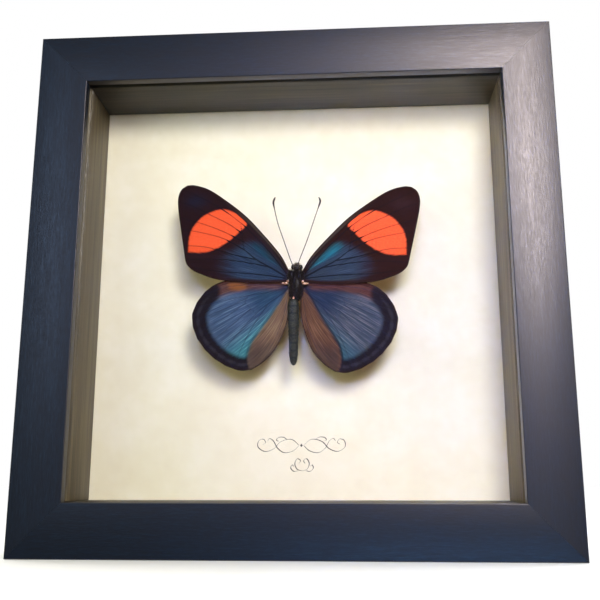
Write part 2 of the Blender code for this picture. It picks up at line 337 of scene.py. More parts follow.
def forewing_scales(name, ground, painted_apex_sheen, blues, teals):
    """The forewing's upper side: velvet black scales, blue ones that shine from the base, and a
    red-orange patch crossed by thin dark veins."""
    material, tree = new_material(name)
    rays = wing_streaks(tree, 120.0, 4.0)
    fine = wing_streaks(tree, 420.0, 60.0)
    lit = coats(tree, rayed(tree, rays, blues), [
        (rayed(tree, rays, teals), mask(tree, "teal", rays, 0.6, 0.1, 0.9)),
    ])
    red = coats(tree, rayed(tree, fine, ("#C13816", "#D24821", "#DD6137")), [
        ("#5E1C10", mask(tree, "vein", share=0.8)),
    ])
    colour = coats(tree, linear(ground[0]), [
        (ground[1], fine),
        # The patch at the apex is painted sheen: navy on the left wing, brown light on the right
        (painted_apex_sheen, mask(tree, "apex", fine, 0.5)),
        ("#3C3026", mask(tree, "front", fine, 0.4)),
        (lit, mask(tree, "blue", rays, 0.8)),
        ("#0E0A0E", mask(tree, "vein", share=0.85)),
        (red, mask(tree, "patch", rays, 1.1, -0.35, 0.45)),
        ("#241410", mask(tree, "edge", low=0.7, high=0.1)),
    ])
    return finish_scales(material, colour, fine)


def hindwing_scales(name, blues, deeps, teals, rusts, browns, spot, fold_edge, crease):
    """The hindwing's upper side: a blue field with pale rays, a broad black border with a band of
    dull flecks, a rusty front edge and the brown fold beside the body, behind a crease darkened with
    painted shade."""
    material, tree = new_material(name)
    rays = wing_streaks(tree, 75.0, 3.5)
    fine = wing_streaks(tree, 330.0, 40.0)
    border = coats(tree, linear("#0E0A0F"), [
        ("#1C1418", fine),
        ("#2C272B", mask(tree, "submargin", fine, 1.8, 0.2, 1.1, share=0.8)),
    ])
    colour = coats(tree, rayed(tree, rays, blues), [
        (rayed(tree, rays, teals), mask(tree, "teal", rays, 0.6)),
        (rayed(tree, rays, deeps), mask(tree, "deep", rays, 0.5)),
        (rayed(tree, rays, rusts), mask(tree, "costal", rays, 1.6, -1.3, 1.1)),
        (spot, mask(tree, "spot", rays, 1.6, -1.0, 1.2, share=0.8)),
        ("#181C28", mask(tree, "root", rays, 0.4, share=0.75)),
        (border, mask(tree, "border", rays, 3.0, -1.0, 0.8)),
        # A dark line along the fold's edge is painted shade in the crease, stronger on the right
        # wing
        ("#16121A", mask(tree, "fold", rays, 0.6, fold_edge - 0.5, fold_edge, share=crease)),
        (rayed(tree, rays, browns), mask(tree, "fold", rays, 0.8, fold_edge, fold_edge + 1.1)),
        ("#2C2624", mask(tree, "dusk", rays, 0.3, share=0.55)),
        ("#1A1A28", mask(tree, "vein", share=0.5)),
        ("#2A1A16", mask(tree, "edge", low=0.6, high=0.1)),
    ])
    return finish_scales(material, colour, fine)


def underside_scales():
    """The wings' underside: dull ochre scales, browner towards the veins."""
    material, tree = new_material("ochre_underside_scales")
    rays = wing_streaks(tree, 90.0, 5.0)
    ochre = rayed(tree, rays, ("#6E5330", "#8F7040", "#A98A55"))
    colour = coats(tree, ochre, [("#3A2A1C", mask(tree, "vein"))])
    return finished(material, colour, 0.7)


def dark_chitin():
    """The insect's bare shell: near black, with a dull waxy shine."""
    material, tree = new_material("dark_chitin")
    pits = grains(tree, 0.35, 4)
    colour = add(tree, "ValToRGB", {"Fac": pits}, {0.3: "#0F0B0B", 0.55: "#1A1313", 0.75: "#2C211F"})
    return finished(material, colour, 0.42, (pits, 0.05, 0.7), 0.2)


def abdomen_scales():
    """Slate scales with an olive cast, dark in the grooves between the rings."""
    material, tree = new_material("slate_abdomen_scales")
    specks = grains(tree, (0.18, 0.18, 0.4), 3)
    tones = {0.35: "#12110E", 0.5: "#24221C", 0.68: "#474639"}
    slate = add(tree, "ValToRGB", {"Fac": specks}, tones)
    colour = coats(tree, slate, [("#121114", mask(tree, "groove"))])
    return finished(material, colour, 0.55, (specks, 0.05, 0.8), 0.15)


def insect_hair(name, dark, light):
    """Dry hair or horn, dull, with a little change of tone from one lock to the next."""
    return mottled(name, 0.5, 2.0, {0.35: dark, 0.65: light}, 0.5, shine=0.15)


def amber_chitin_painted_highlight():
    """Bare polished chitin at the wing joints: pinkish amber lightened towards pale cream as a
    painted highlight, under a clear coat.
    """
    tones = {0.3: "#6E4434", 0.5: "#A8765C", 0.7: "#DDB49A"}
    coat = {"Coat Weight": 0.4, "Coat Roughness": 0.1}
    return mottled("amber_chitin_painted_highlight", 0.5, 3.0, tones, 0.2, others=coat)


def compound_eye():
    """Dry compound eye: smooth dark brown, with its facets as the faintest net."""
    material, tree = new_material("compound_eye")
    facets = cells(tree, 0.06, 0.2)
    colour = add(tree, "ValToRGB", {"Fac": facets}, {0.0: "#2A1B16", 0.7: "#120C0C"})
    return finished(material, colour, 0.22, others={"Coat Weight": 0.3, "Coat Roughness": 0.15})


def studio_floor():
    """Matt white backdrop paper."""
    return mottled("white_backdrop_paper", 60, 3.0, {0.3: "#F2F2F0", 0.7: "#F8F8F7"}, 0.9)


# ---- shaping tools


def mesh_of(name, shape):
    """A mesh made of a finished bmesh, which is freed."""
    mesh = bpy.data.meshes.new(name)
    shape.to_mesh(mesh)
    shape.free()
    return mesh


def placed(name, data):
    """A new object in the scene."""
    thing = bpy.data.objects.new(name, data)
    bpy.context.collection.objects.link(thing)
    return thing


def piece(name, shape, materials, replaced=(), crease=None):
    """Make a bmesh or a mesh a finished piece, and hide the CAD nodes that it stands in for. With a
    crease angle it is smoothed."""
    mesh = mesh_of(name, shape) if isinstance(shape, bmesh.types.BMesh) else shape
    for material in materials:
        mesh.materials.append(material)
    if crease:
        mesh.shade_smooth()
        mesh.set_sharp_from_angle(angle=math.radians(crease))
    thing = placed(name, mesh)
    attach(thing, ROOT)
    if replaced:
        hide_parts(*replaced)


def hide(thing, *rays):
    """Keep a thing out of these kinds of ray."""
    for ray in rays:
        setattr(thing, "visible_" + ray, False)


def finish_node(node, material):
    """Give a CAD node that keeps its shape its real finish."""
    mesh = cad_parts[node].data
    mesh.materials.clear()
    mesh.materials.append(material)


def round_over(shape, edges, width, segments=2):
    """Round some of a shape's edges over by this width."""
    bmesh.ops.bevel(
        shape, geom=edges, offset=width, affect="EDGES", segments=segments, profile=0.5,
        material=-1, clamp_overlap=True,
    )


def thicken(shape, faces, along):
    """Draw faces out into a closed solid along a vector."""
    grown = bmesh.ops.extrude_face_region(shape, geom=faces, use_keep_orig=True)["geom"]
    moved = [item for item in grown if isinstance(item, bmesh.types.BMVert)]
    bmesh.ops.translate(shape, vec=along, verts=moved)
    bmesh.ops.recalc_face_normals(shape, faces=shape.faces)


def block(low, high, ease):
    """A square strip of wood with its edges just taken off."""
    shape = bmesh.new()
    size = Vector(high) - Vector(low)
    place = Matrix.Translation((Vector(high) + Vector(low)) / 2) @ Matrix.Diagonal((*size, 1.0))
    bmesh.ops.create_cube(shape, size=1.0, matrix=place)
    round_over(shape, shape.edges[:], ease)
    return shape


def eased(node, width):
    """A copy of a CAD node's shape with its sharp edges rounded over."""
    shape = bmesh.new()
    shape.from_mesh(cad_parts[node].data)
    bmesh.ops.remove_doubles(shape, verts=shape.verts, dist=1e-6)
    flat = math.radians(1)
    bmesh.ops.dissolve_limit(shape, angle_limit=flat, verts=shape.verts, edges=shape.edges)
    sharp = [edge for edge in shape.edges if edge.calc_face_angle(0) > math.radians(30)]
    round_over(shape, sharp, width)
    return shape


def tube(shape, route, radii, sides):
    """A closed round tube grown station by station along a route."""
    route = [Vector(place) for place in route]
    last = len(route) - 1
    ahead = [(route[min(k + 1, last)] - route[max(k - 1, 0)]).normalized() for k in range(last + 1)]
    turn = ahead[0].to_track_quat("Z", "Y")
    stations = []
    for k in range(last + 1):
        if k:
            turn = ahead[k - 1].rotation_difference(ahead[k]) @ turn
        stations.append(Matrix.LocRotScale(route[k], turn, Vector((radii[k],) * 3)))
    ring = bmesh.ops.create_circle(
        shape, cap_ends=True, segments=sides, radius=1.0, matrix=stations[0]
    )["verts"]
    cap = ring[0].link_faces[0]
    for k in range(1, last + 1):
        grown = bmesh.ops.extrude_face_region(shape, geom=[cap], use_keep_orig=k == 1)["geom"]
        moved = [item for item in grown if isinstance(item, bmesh.types.BMVert)]
        cap = next(item for item in grown if isinstance(item, bmesh.types.BMFace))
        bmesh.ops.transform(shape, matrix=stations[k] @ stations[k - 1].inverted(), verts=moved)
    bmesh.ops.recalc_face_normals(shape, faces=shape.faces)


def curve(points, count):
    """Evenly spaced places on a smooth open curve through the given ones."""
    knots = np.array(points, float)
    knots = np.vstack((2 * knots[0] - knots[1], knots, 2 * knots[-1] - knots[-2]))
    t = np.linspace(0, 1, 16, endpoint=False)[:, None]
    runs = [
        (2 * b + (c - a) * t + (2 * a - 5 * b + 4 * c - d) * t ** 2
         + (3 * b - a - 3 * c + d) * t ** 3) / 2
        for a, b, c, d in zip(knots, knots[1:], knots[2:], knots[3:])
    ]
    dense = np.vstack(runs + [knots[-2:-1]])
    run = np.concatenate(([0], np.cumsum(np.linalg.norm(np.diff(dense, axis=0), axis=1))))
    where = np.linspace(0, run[-1], count)
    return np.stack([np.interp(where, run, axis) for axis in dense.T], axis=1)


def distance_to(places, line):
    """How far each place is from a line, and how far along the line that is."""
    step = np.diff(line, axis=0)
    offset = places[:, None, :] - line[None, :-1, :]
    along = np.clip((offset * step).sum(2) / np.maximum((step ** 2).sum(1), 1e-12), 0, 1)
    gaps = np.linalg.norm(offset - along[..., None] * step, axis=2)
    nearest = gaps.argmin(1)
    rows = np.arange(len(places))
    return gaps[rows, nearest], (nearest + along[rows, nearest]) / len(step)


def depth_inside(places, outline):
    """Signed distance from a closed smooth outline: positive inside it."""
    loop = curve(list(outline) + [outline[0]], 90)
    gaps, _ = distance_to(places, loop)
    x, y = places[:, None, 0], places[:, None, 1]
    start, end = loop[:-1], loop[1:]
    rises = (start[:, 1] > y) != (end[:, 1] > y)
    drop = np.where(end[:, 1] == start[:, 1], 1e-9, end[:, 1] - start[:, 1])
    crossing = start[:, 0] + (y - start[:, 1]) * (end[:, 0] - start[:, 0]) / drop
    inside = (rises & (x < crossing)).sum(1) % 2 == 1
    return np.where(inside, gaps, -gaps)


def blend(low, high, values):
    """From 0 at low to 1 at high, without a corner at either."""
    t = np.clip((values - low) / (high - low), 0, 1)
    return t * t * (3 - 2 * t)


def joined_copies(name, template, matrices):
    """One mesh of many copies of a small shape, each at its own matrix."""
    template.verts.index_update()
    spots = np.array([(*vert.co, 1.0) for vert in template.verts])
    faces = [[vert.index for vert in face.verts] for face in template.faces]
    template.free()
    every = np.einsum("mij,vj->mvi", np.array([np.array(m) for m in matrices]), spots)[..., :3]
    count = len(spots)
    loops = [[k * count + index for index in face] for k in range(len(matrices)) for face in faces]
    mesh = bpy.data.meshes.new(name)
    mesh.from_pydata(every.reshape(-1, 3), [], loops)
    mesh.update()
    return mesh


# ---- the joinery


def rail_shape(quarter):
    """One rail: its rabbeted section run long, the arrises rounded, the ends cut to a mitre."""
    overrun = HALF_SIDE + 0.01
    section = (
        (0, FRONT_Y), (FACE_WIDTH, FRONT_Y), (FACE_WIDTH, LIP_BACK_Y),
        (HALF_SIDE - RABBET_HALF, LIP_BACK_Y), (HALF_SIDE - RABBET_HALF, BACK_Y), (0, BACK_Y),
    )
    shape = bmesh.new()
    end = shape.faces.new([shape.verts.new((-overrun, y, inward)) for inward, y in section])
    thicken(shape, [end], (2 * overrun, 0, 0))
    arrises = []
    for edge in shape.edges:
        near, far = (vert.co for vert in edge.verts)
        for z, y in ((0, FRONT_Y), (FACE_WIDTH, FRONT_Y), (0, BACK_Y)):
            if abs(near.x - far.x) > HALF_SIDE and abs(near.z - z) + abs(near.y - y) < 1e-6:
                arrises.append(edge)
    round_over(shape, arrises, ARRIS_RADIUS, 4)
    for way in (-1, 1):
        cut = bmesh.ops.bisect_plane(
            shape, geom=shape.verts[:] + shape.edges[:] + shape.faces[:], clear_outer=True,
            plane_co=(way * (HALF_SIDE - MITRE_GAP / 2), 0, 0), plane_no=(way, 0, 1),
        )["geom_cut"]
        rim = [item for item in cut if isinstance(item, bmesh.types.BMEdge)]
        bmesh.ops.contextual_create(shape, geom=rim)
    bmesh.ops.recalc_face_normals(shape, faces=shape.faces)
    turn = Matrix.Translation(MIDDLE) @ Matrix.Rotation(quarter * math.pi / 2, 4, "Y")
    centred = Matrix.Translation((0, -MIDDLE.y, -HALF_SIDE))
    bmesh.ops.transform(shape, matrix=turn @ centred, verts=shape.verts)
    return shape


def make_rails():
    """Four mitred rails, the grain of each along it."""
    level = black_stained_wood("black_stained_wood_level", "X")
    upright = black_stained_wood("black_stained_wood_upright", "Z")
    for quarter, side in enumerate(("bottom", "left", "top", "right")):
        wood = upright if quarter % 2 else level
        rail = rail_shape(quarter)
        piece("moulding_" + side, rail, [wood], ["rail_" + side], JOINERY_CREASE)


def make_spacers():
    """The lining: top and bottom strips run through, the upright ones fit between them."""
    # All four strips are one stain: the top and bottom strips take darker browns as painted shade,
    # the upright strips lighter browns as painted light
    level = spacer_stain("olive_strip_level_painted_shade", "X", ("#2A2319", "#3D3426", "#504534"))
    upright = spacer_stain("olive_strip_upright_painted_light", "Z", ("#3C3222", "#574A34", "#716347"))
    for side in ("top", "bottom", "left", "right"):
        node = "spacer_" + side
        low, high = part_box(node)
        wood = level
        if side in ("left", "right"):
            wood = upright
            low.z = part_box("spacer_bottom")[1].z
            high.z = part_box("spacer_top")[0].z
        strip = block(low, high, SPACER_EASE)
        piece("lining_" + side, strip, [wood], [node], JOINERY_CREASE)


def make_pane_and_sheets():
    """The pane mirrors the lamps, and neither shades nor lights what is behind it."""
    finish_node("glass_pane", float_glass())
    hide(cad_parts["glass_pane"], "shadow", "diffuse", "glossy")
    finish_node("display_card", parchment_paper())
    finish_node("backing_board", pressed_hardboard())


def make_hardware():
    """The points that hold the board in, and the hanger with its nails."""
    metals = {"glazing_point": zinc_plated_steel(), "hanger": brassed_steel()}
    rows = [
        (f"push_point_{side}_{number}", f"glazing_point_{side}_{number}", 0.12, "glazing_point")
        for side in ("top", "right", "bottom", "left") for number in (1, 2)
    ]
    rows.append(("toothed_hanger", "sawtooth_hanger", 0.1, "hanger"))
    rows += [
        ("brass_nail_" + side, "hanger_nail_" + side, 0.08, "hanger") for side in ("left", "right")
    ]
    for name, node, ease, slot in rows:
        piece(name, eased(node, ease * MM), [metals[slot]], [node], JOINERY_CREASE)


# ---- the ornament on the card


def pen_stroke(shape, route, thin, thick):
    """A ribbon of ink from a broad nib: thick down the nib's slant, thin along it."""
    count = 60
    line = curve(route, count)
    ahead = np.gradient(line, axis=0)
    ahead /= np.linalg.norm(ahead, axis=1)[:, None]
    nib = math.radians(35)
    press = np.abs(ahead[:, 1] * math.cos(nib) - ahead[:, 0] * math.sin(nib))
    ends = np.sin(np.linspace(0, math.pi, count)) ** 0.4
    half = (thin + (thick - thin) * press ** 1.5) * (0.25 + 0.75 * ends) / 2
    ribbon = bmesh.ops.create_grid(shape, x_segments=count - 1, y_segments=1, size=0.5)["verts"]
    for vert in ribbon:
        station = round((vert.co.x + 0.5) * (count - 1))
        side = 1 if vert.co.y > 0 else -1
        across = np.array((-ahead[station, 1], ahead[station, 0]))
        x, z = line[station] + side * half[station] * across
        vert.co = (x, 0, z)


def make_ornament():
    """A pen flourish in two lines under the butterfly, where a label would be."""
    upper = (
        ((0.7, 0), (3.2, 1.9), (6.6, 1.2), (8.8, -1), (11.6, -1.9), (13.9, -0.5), (13.7, 1.5),
         (12.2, 2), (11.5, 0.9), (12.4, 0.3)),
        ((0.7, 0), (2.6, -1.7), (5.4, -2.3), (7.6, -0.9), (8.9, 1.3), (10.2, 2.2), (10.9, 1.4)),
        ((4.6, 1.9), (5.8, 2.6), (7.4, 2.5), (8, 1.7), (7.3, 1.3)),
    )
    lower = (
        ((0, -2.1), (1.6, -1.5), (2.3, 0.2), (1.5, 1.7), (0.5, 1.1), (1, 0.2)),
        ((1.2, -2), (2.6, -2.2), (3.6, -1.2), (3.2, -0.2), (2.6, -0.7)),
    )
    upper_centre, lower_centre = (1.7, 33.1), (1.9, 27.2)
    thin, thick = 0.10, 0.34
    shape = bmesh.new()
    for strokes, (middle, height) in ((upper, upper_centre), (lower, lower_centre)):
        for way in (-1, 1):
            for stroke in strokes:
                route = [(middle + way * x, height + z) for x, z in stroke]
                pen_stroke(shape, route, thin, thick)
    middle, height = upper_centre
    lozenge = bmesh.ops.create_circle(shape, cap_ends=True, segments=4, radius=0.55)["verts"]
    for vert in lozenge:
        vert.co = (middle + vert.co.x * 0.8, 0, height + vert.co.y)
    thicken(shape, shape.faces[:], (0, INK_THICKNESS, 0))
    on_card = Matrix.Translation((0, CARD_Y - INK_PROUD * MM, 0)) @ Matrix.Scale(MM, 4)
    bmesh.ops.transform(shape, matrix=on_card, verts=shape.verts)
    piece("printed_flourish", shape, [printing_ink()])


# ---- the wings

FOREWING = {
    "front": ((2, 3.3), (5, 8.6), (10.7, 15.3), (16.9, 21.7), (24.3, 27.4), (29.6, 30.7),
        (34.1, 32), (36.6, 31.9)),
    "outer": ((36.6, 31.9), (38.5, 30.4), (39.4, 27.6), (39.2, 24), (38.2, 18.5), (36.6, 10.5),
        (35.5, 5.6), (33.7, 3.4)),
    "hind": ((2.6, -0.2), (4.6, -0.4), (12.5, -0.75), (24.4, 0), (31.2, 2.1), (33.7, 3.4)),
    "back": FOREWING_BACK,
    "cells": (170, 150),
    "scallops": (0, 0),
    "droop": 0,
}
FOREWING_VEINS = (
    (((2.4, 3), (6, 8.4), (12.5, 15.6), (19.5, 22.2), (27.5, 28.4)), 0.2),
    (((2.8, 2.3), (8, 8.9), (13, 14.2), (18.6, 19.4), (27, 25.2), (37.8, 30.6)), 0.2),
    (((3.2, 1.6), (7.8, 4.2), (12.7, 6.9), (16.8, 10.2)), 0.3),
    (((16.8, 10.2), (17.6, 14), (18.4, 19)), 0.12),
    (((17.4, 15.4), (22, 18.6), (27.6, 21.4), (34, 24.6), (39.2, 26.4)), 0.2),
    (((17, 12.8), (24, 16.2), (30.4, 18.6), (38.6, 21)), 0.2),
    (((16.8, 10.2), (24, 13.9), (31.8, 15.9), (37.9, 16.8)), 0.2),
    (((12.7, 6.9), (21, 8.6), (29, 10.8), (36.9, 11.4)), 0.22),
    (((8.4, 4.5), (14, 5.6), (24, 6.8), (35.8, 6.6)), 0.2),
    (((3.2, 1), (8, 1.6), (13.1, 2.1), (25.6, 2.9), (34, 4)), 0.22),
)
RED_PATCH = (
    (35, 9.2), (35, 13.6), (34, 17.2), (31.4, 20.8), (28, 22.9), (24.5, 23.8), (21, 22.9),
    (17.9, 20.8), (16.3, 18.8), (17.9, 16.8), (20.2, 14.6), (22, 12.9), (25.5, 10.6), (29.5, 9.1),
)
BLUE_FIELD = (
    (2.6, 0), (3.4, 3.2), (7.4, 8), (11.8, 12.4), (15.6, 13), (19.4, 11.4), (24.5, 9),
    (27.6, 5), (26, 1.2), (14, -0.9), (5, -0.9),
)

HINDWING = {
    "front": ((2.4, -0.6), (5.4, 0.1), (12, 0.9), (20, 0.6), (25.4, -1.2), (28.9, -3.8)),
    "outer": ((28.9, -3.8), (31.2, -7.2), (32.5, -10.8), (32.4, -14), (31.2, -17.8), (28.9, -21.4),
        (25.5, -24.8), (21, -27.5), (16.5, -28.8), (13.1, -28.4)),
    "hind": ((1.7, -3.2), (1.7, -7), (2, -11.5), (3.4, -16.6), (5.9, -22), (9.5, -26),
        (13.1, -28.4)),
    "back": HINDWING_BACK,
    "cells": (150, 170),
    "scallops": (9, 0.15),
    "droop": 0.9,
}
HINDWING_VEINS = (
    (((2.6, -1.4), (12, -1.2), (22, -2.2), (29.4, -5)), 0.16),
    (((2.6, -1.8), (8.5, -3.5), (15, -4.8), (24, -7), (31.8, -9.2)), 0.16),
    (((15, -4.8), (15.6, -7.2), (12.2, -10.6)), 0.1),
    (((15.2, -5.6), (23, -9.6), (32.2, -13.8)), 0.16),
    (((15.6, -7.2), (22.5, -12.4), (31, -17.8)), 0.16),
    (((14, -9), (20.5, -15.2), (28.2, -21.8)), 0.16),
    (((2.5, -2.6), (7.4, -6.4), (12.2, -10.6), (17.6, -17), (24.2, -25.4)), 0.18),
    (((8.8, -7.8), (13.8, -16), (19, -27.8)), 0.18),
    (((2.3, -3.6), (3.1, -9), (4.9, -16), (8.8, -24.4)), 0.12),
)
FOLD_FIELD = (
    (2.2, -3), (6.7, -10.6), (9.5, -15), (11.7, -18.3), (13.2, -21), (14, -25), (12.8, -28.2),
    (9.4, -26.8), (4.6, -22.6), (1.6, -16.4), (0.6, -11), (0.6, -5),
)
COSTAL_FIELD = (
    (1.5, 1.4), (3, -2), (12, -2.6), (20, -3.8), (25, -5.6), (29.5, -7.2), (30.5, -1),
    (20, 3), (8, 3),
)
COSTAL_SPOT = ((15.6, -1.2), (18.5, -0.6), (21.4, -1), (20.8, -2.7), (18, -3.3), (16, -2.6))

# Scale colours: the left and the right wings draw one pattern, and their colours differ by painted
# light and painted sheen, as each side catches the light differently
FOREWING_COLOURS = {
    "left": {
        "ground": ("#16080A", "#231112"), "painted_apex_sheen": "#17141F",
        "blues": ("#131721", "#202A37", "#32424E"), "teals": ("#0C1C24", "#142E37", "#23434C"),
    },
    "right": {
        "ground": ("#160705", "#260E0A"), "painted_apex_sheen": "#261312",
        "blues": ("#12161D", "#222830", "#353F45"), "teals": ("#0F3439", "#184E52", "#276D6D"),
    },
}
HINDWING_COLOURS = {
    "left": {
        "blues": ("#273142", "#354352", "#535F66"), "deeps": ("#172231", "#20313F", "#30434C"),
        "teals": ("#27494C", "#356664", "#598B7E"), "rusts": ("#2F1913", "#452821", "#5F453A"),
        "browns": ("#423020", "#5C4330", "#735C3E"), "spot": "#76451C",
        "fold_edge": -0.9, "crease": 0.4,
    },
    "right": {
        "blues": ("#232A2E", "#34373D", "#5D5652"), "deeps": ("#131724", "#1C232F", "#2B313E"),
        "teals": ("#1E2E36", "#2B4349", "#4D5E5B"), "rusts": ("#2A130E", "#3E2019", "#57372C"),
        "browns": ("#321F15", "#4E3121", "#66482F"), "spot": "#452920",
        "fold_edge": -1.5, "crease": 0.8,
    },
}


def wing_lift(out, up):
    """How far a dry wing rises towards the glass, in millimetres."""
    waves = 0.35 * np.sin(out / 11 + up / 17)
    return 0.9 * blend(2, 40, out) - 0.5 * blend(18, 30, -up) + waves


def wing_grid(name, plan):
    """A grid stretched between the wing's edges: its mesh, its places, how far each is from base
    to margin and from front to hind edge, and the outline without the base."""
    along, across = plan["cells"]
    grid = bmesh.new()
    grid.loops.layers.uv.new("UVMap")
    bmesh.ops.create_grid(grid, x_segments=along, y_segments=across, size=0.5, calc_uvs=True)
    mesh = mesh_of(name, grid)
    flat = np.zeros(len(mesh.vertices) * 3)
    mesh.vertices.foreach_get("co", flat)
    t, s = flat.reshape(-1, 3).T[:2] + 0.5

    front = curve(plan["front"], along + 1)
    hind = curve(plan["hind"], along + 1)
    outer = curve(plan["outer"], across + 1)
    waves, height = plan["scallops"]
    side = np.gradient(outer, axis=0)
    inward = np.stack((side[:, 1], -side[:, 0]), 1) / np.linalg.norm(side, axis=1)[:, None]
    down = np.linspace(0, 1, across + 1)[:, None]
    dip = height * np.abs(np.sin(waves * math.pi * down)) * np.sin(math.pi * down) ** 0.5
    outer = outer + inward * dip
    base = front[0] + down * (hind[0] - front[0])
    column = np.rint(t * along).astype(int)
    row = np.rint(s * across).astype(int)
    v, w = t[:, None], s[:, None]
    corners = (1 - w) * ((1 - v) * front[0] + v * front[-1])
    corners += w * ((1 - v) * hind[0] + v * hind[-1])
    spread = (1 - w) * front[column] + w * hind[column] + (1 - v) * base[row] + v * outer[row]
    return mesh, spread - corners, t, s, np.vstack((front, outer, hind[::-1]))


def wing_relief(plan, veins, places, edge):
    """How dark each place is with vein, and how far it rises towards the glass: veins stand up,
    the membrane sags between them, and a hindwing droops beside the body."""
    vein, ridge = np.zeros(len(places)), np.zeros(len(places))
    nearest = np.full(len(places), 9.0)
    for route, width in veins:
        gap, done = distance_to(places, curve(route, 40))
        taper = width * (1.15 - 0.6 * done)
        vein = np.maximum(vein, blend(1.25, 0.55, gap / taper))
        ridge = np.maximum(ridge, np.exp(-(gap / (0.8 * taper)) ** 2) * taper)
        nearest = np.minimum(nearest, gap)
    out, up = places.T
    sag = 0.14 * blend(0.2, 2.4, nearest) * blend(0, 1.5, edge)
    droop = plan["droop"] * blend(6.5, 1.5, out) * blend(-3, -9, up)
    return vein, wing_lift(out, up) + 0.35 * ridge - sag - droop


def wing_mesh(name, plan, veins, way, measures):
    """One wing, with measures stored on its points for the scales' colours to follow."""
    mesh, places, t, s, outline = wing_grid(name, plan)
    edge, _ = distance_to(places, outline)
    vein, towards_glass = wing_relief(plan, veins, places, edge)
    co = np.stack((way * places[:, 0], plan["back"] - towards_glass, places[:, 1]), 1)
    mesh.vertices.foreach_set("co", co.ravel())
    values = {"vein": vein, "edge": edge, **measures(places, vein, edge, t, s)}
    for label, value in values.items():
        layer = mesh.attributes.new(label, "FLOAT", "POINT")
        layer.data.foreach_set("value", value.astype(np.float32))

    wall = bmesh.new()
    wall.from_mesh(mesh)
    if sum(face.normal.y for face in wall.faces) > 0:
        bmesh.ops.reverse_faces(wall, faces=wall.faces[:])
    thicken(wall, wall.faces[:], (0, MEMBRANE, 0))
    for face in wall.faces:
        face.smooth = True
        face.material_index = 1 if face.normal.y > 0.2 else 0
    bmesh.ops.transform(wall, matrix=PLACE, verts=wall.verts)
    wall.to_mesh(mesh)
    wall.free()
    return mesh


def forewing_measures(places, vein, edge, t, s):
    """Where its colours lie: in millimetres inside a field, or from 0 to 1."""
    out, up = places[:, 0], places[:, 1]
    field = depth_inside(places, BLUE_FIELD)
    wedges = blend(23, 16, out - 0.25 * up)
    return {
        "patch": depth_inside(places, RED_PATCH) - 1.5 * vein * wedges,
        "blue": blend(-1.8, 2.8, field) * blend(29, 15, out) * blend(0.3, 1.5, edge),
        "teal": np.exp(-((s - 0.27) / 0.14) ** 2) * blend(0.03, 0.1, t) * blend(0.48, 0.28, t),
        "apex": 0.8 * np.exp(-((out - 33.5) / 4.0) ** 2 - ((up - 26.5) / 2.6) ** 2),
        "front": blend(0.9, 0.2, np.abs(edge - 0.75)) * blend(0.16, 0.02, s) * blend(0.9, 0.1, t),
    }


def hindwing_measures(places, vein, edge, t, s):
    """Where the hindwing's colours lie, told as for the forewing."""
    up = places[:, 1]
    fold = depth_inside(places, FOLD_FIELD)
    outer, _ = distance_to(places, curve(HINDWING["outer"], 90))
    width = 4.1 + 0.6 * blend(-27, -12, up)
    beads = 0.55 + 0.45 * np.abs(np.sin(11 * math.pi * s))
    return {
        "border": width - outer,
        "submargin": np.exp(-((outer - 1.9) / 0.8) ** 2) * beads * blend(0.05, 0.2, s),
        "fold": fold,
        "dusk": blend(-15, -26, up) * blend(-1.5, 0.5, fold),
        "root": blend(0.17, 0.02, t) * blend(0.1, 0.25, s),
        "costal": depth_inside(places, COSTAL_FIELD),
        "spot": depth_inside(places, COSTAL_SPOT),
        "teal": blend(0.50, 0.85, s) * blend(0.0, 0.3, t),
        "deep": blend(0.62, 0.25, t) * blend(0.08, 0.22, s) * blend(0.72, 0.5, s),
    }


def make_wings():
    """Four wings, scales of their own above and one ochre below; the colours of the left and right
    wings differ by painted light and painted sheen.
    """
    under = underside_scales()
    for side, way in (("left", -1), ("right", 1)):
        name = "forewing_scales_" + side
        scales = forewing_scales(name, **FOREWING_COLOURS[side])
        mesh = wing_mesh(name, FOREWING, FOREWING_VEINS, way, forewing_measures)
        piece("upper_wing_" + side, mesh, [scales, under], ["forewing_" + side])
        name = "hindwing_scales_" + side
        scales = hindwing_scales(name, **HINDWING_COLOURS[side])
        mesh = wing_mesh(name, HINDWING, HINDWING_VEINS, way, hindwing_measures)
        piece("lower_wing_" + side, mesh, [scales, under], ["hindwing_" + side])


# ---- the body


def pair(across, back, up, size, level=3, middle=0.0):
    """Two like eggs, to the left and to the right of a middle line."""
    return [((middle + way * across, back, up), size, level) for way in (-1, 1)]


def eggs(places):
    """Closed eggs in one shape, in the butterfly's own millimetres."""
    shape = bmesh.new()
    for centre, size, level in places:
        place = Matrix.Translation(centre) @ Matrix.Diagonal((*size, 1.0))
        bmesh.ops.create_icosphere(shape, subdivisions=level, radius=1.0, matrix=place)
    return shape


def insect_piece(name, shape, material, replaced=(), place=PLACE):
    """A smooth piece of the insect, put in its place."""
    bmesh.ops.transform(shape, matrix=place, verts=shape.verts)
    piece(name, shape, [material], replaced, INSECT_CREASE)


def hair_shape(thickness):
    """One hair a millimetre long, bent towards +X."""
    shape = bmesh.new()
    route = ((0, 0, -0.05), (0.03, 0, 0.3), (0.14, 0, 0.65), (0.36, 0, 0.95))
    tube(shape, route, [thickness * share for share in (1.0, 0.9, 0.6, 0.15)], 3)
    return shape


def hair_matrix(rng, place, grow, shortest, longest, length=1.0):
    """A hair's place: it grows this way, turned at random about itself."""
    roll = Matrix.Rotation(rng.uniform(0, math.tau), 3, "Z").to_quaternion()
    scale = length * rng.uniform(shortest, longest)
    return Matrix.LocRotScale(place, grow.to_track_quat("Z", "Y") @ roll, Vector((scale,) * 3))


